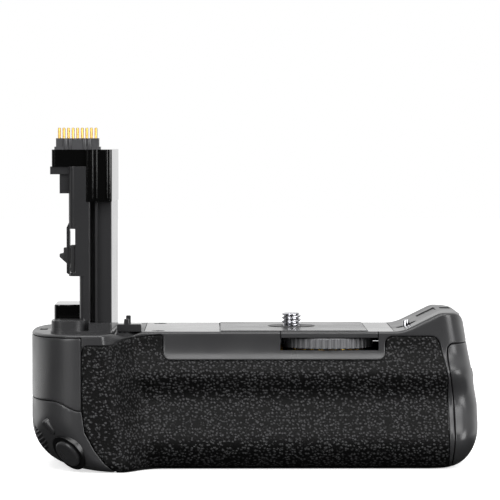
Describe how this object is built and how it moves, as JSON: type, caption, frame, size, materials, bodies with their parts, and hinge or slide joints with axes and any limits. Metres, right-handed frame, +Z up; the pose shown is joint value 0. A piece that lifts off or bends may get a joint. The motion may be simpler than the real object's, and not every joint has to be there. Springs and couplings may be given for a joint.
{
  "type": "camera battery grip",
  "caption": "Battery grip that screws under a single-lens reflex camera: contact column, lock wheel, pull-out battery magazine and a second set of controls for upright shots.",
  "frame": {"origin": "on the flat base, under the middle of the body's width and of the deck's depth", "axes": "+X runs along the long side, to the right seen from the front; -Y faces the front; +Z is up, along the camera screw, toward the camera"},
  "size_m": [0.1444, 0.0732, 0.1094],
  "materials": {
    "housing_plastic": "satin black moulded plastic with a fine grain",
    "grip_rubber": "pebbled black rubber",
    "gloss_black": "glossy black plastic",
    "dark_plastic": "matte black plastic",
    "contact_grey": "matte grey plastic",
    "bright_steel": "bright plated steel",
    "steel": "plain steel",
    "brass": "plain brass",
    "gold_contact": "gold-plated contact metal",
    "board": "circuit board",
    "cable_film": "flat cable film"
  },
  "bodies": {
    "housing": {"main_housing": "housing_plastic", "front_grip": "grip_rubber", "left_end_panel": "housing_plastic", "control_pod": "housing_plastic", "base_cover": "housing_plastic", "base_screws": "steel", "tripod_socket": "steel", "rear_cover": "housing_plastic", "thumb_grip": "grip_rubber", "deck_plate_left": "housing_plastic", "deck_screws": "steel", "deck_pad": "dark_plastic", "deck_plate_right": "housing_plastic", "screw_collar": "dark_plastic", "locating_pin": "bright_steel", "wheel_bridge": "housing_plastic", "wheel_axle": "steel", "mechanism_frame": "steel", "column_body": "housing_plastic", "column_head": "gloss_black", "contact_block": "contact_grey", "ribbon_cable": "cable_film", "column_plinth": "housing_plastic", "column_foot": "gloss_black", "hook_guide": "dark_plastic", "horn_liner": "dark_plastic", "magazine_sleeve": "dark_plastic", "power_terminals": "gold_contact", "main_board": "board", "shutter_bezel": "gloss_black", "shutter_switch": "dark_plastic", "dial_axle": "steel", "switch_board": "board"},
    "lock_wheel": {"lock_wheel": "dark_plastic", "wheel_gear": "brass"},
    "camera_screw": {"camera_screw": "bright_steel", "screw_gear": "brass"},
    "contact_pins": {"contact_pins": "gold_contact"},
    "cover_slide": {"cover_slide": "dark_plastic"},
    "magazine": {"magazine_tray": "dark_plastic", "bay_contacts": "gold_contact", "cap_backplate": "housing_plastic", "magazine_cap": "housing_plastic"},
    "release_knob": {"release_knob": "dark_plastic", "lock_arm": "steel"},
    "shutter_button": {"shutter_button": "dark_plastic"},
    "af_area_button": {"af_area_button": "dark_plastic"},
    "control_dial": {"control_dial": "dark_plastic"},
    "af_on_button": {"af_on_button": "dark_plastic"},
    "ae_lock_button": {"ae_lock_button": "dark_plastic"},
    "af_point_button": {"af_point_button": "dark_plastic"},
    "power_switch": {"power_switch": "dark_plastic"}
  },
  "joints": [
    {"name": "lock_wheel_turn", "type": "hinge", "parent": "housing", "child": "lock_wheel", "pos_m": [0.0245, -0.0129, 0.04], "axis": [0, 0, 1], "continuous": true},
    {"name": "camera_screw_turn", "type": "hinge", "parent": "housing", "child": "camera_screw", "pos_m": [0.0129, 0.00215, 0.04], "axis": [0, 0, 1], "continuous": true},
    {"name": "contact_pins_press", "type": "slide", "parent": "housing", "child": "contact_pins", "axis": [0, 0, -1], "range_m": [0, 0.001], "stiffness_N_per_m": 500, "springref_m": -0.0005},
    {"name": "cover_slide_move", "type": "slide", "parent": "housing", "child": "cover_slide", "axis": [0, 0, 1], "range_m": [0, 0.005]},
    {"name": "magazine_pull", "type": "slide", "parent": "housing", "child": "magazine", "axis": [1, 0, 0], "range_m": [0, 0.118]},
    {"name": "release_knob_turn", "type": "hinge", "parent": "magazine", "child": "release_knob", "pos_m": [0.07, 0.0005, 0.021], "axis": [1, 0, 0], "range_deg": [0, 90]},
    {"name": "shutter_button_press", "type": "slide", "parent": "housing", "child": "shutter_button", "axis": [0.6102, 0.5701, 0.5501], "range_m": [0, 0.001], "stiffness_N_per_m": 400, "springref_m": -0.0005},
    {"name": "af_area_button_press", "type": "slide", "parent": "housing", "child": "af_area_button", "axis": [0.6102, 0.5701, 0.5501], "range_m": [0, 0.0006], "stiffness_N_per_m": 300, "springref_m": -0.0005},
    {"name": "control_dial_turn", "type": "hinge", "parent": "housing", "child": "control_dial", "pos_m": [-0.06295, -0.02662, 0.01221], "axis": [-0.4234, 0.8215, -0.3818], "continuous": true},
    {"name": "af_on_button_press", "type": "slide", "parent": "housing", "child": "af_on_button", "axis": [0, -1, 0], "range_m": [0, 0.0008], "stiffness_N_per_m": 300, "springref_m": -0.0005},
    {"name": "ae_lock_button_press", "type": "slide", "parent": "housing", "child": "ae_lock_button", "axis": [0, -1, 0], "range_m": [0, 0.0008], "stiffness_N_per_m": 300, "springref_m": -0.0005},
    {"name": "af_point_button_press", "type": "slide", "parent": "housing", "child": "af_point_button", "axis": [0, -1, 0], "range_m": [0, 0.0008], "stiffness_N_per_m": 300, "springref_m": -0.0005},
    {"name": "power_switch_turn", "type": "hinge", "parent": "housing", "child": "power_switch", "pos_m": [-0.036, 0.027, 0.0125], "axis": [0, -1, 0], "range_deg": [0, 35]}
  ],
  "couplings": [
    {"joint": "camera_screw_turn", "follows": "lock_wheel_turn", "ratio": -1.375}
  ]
}
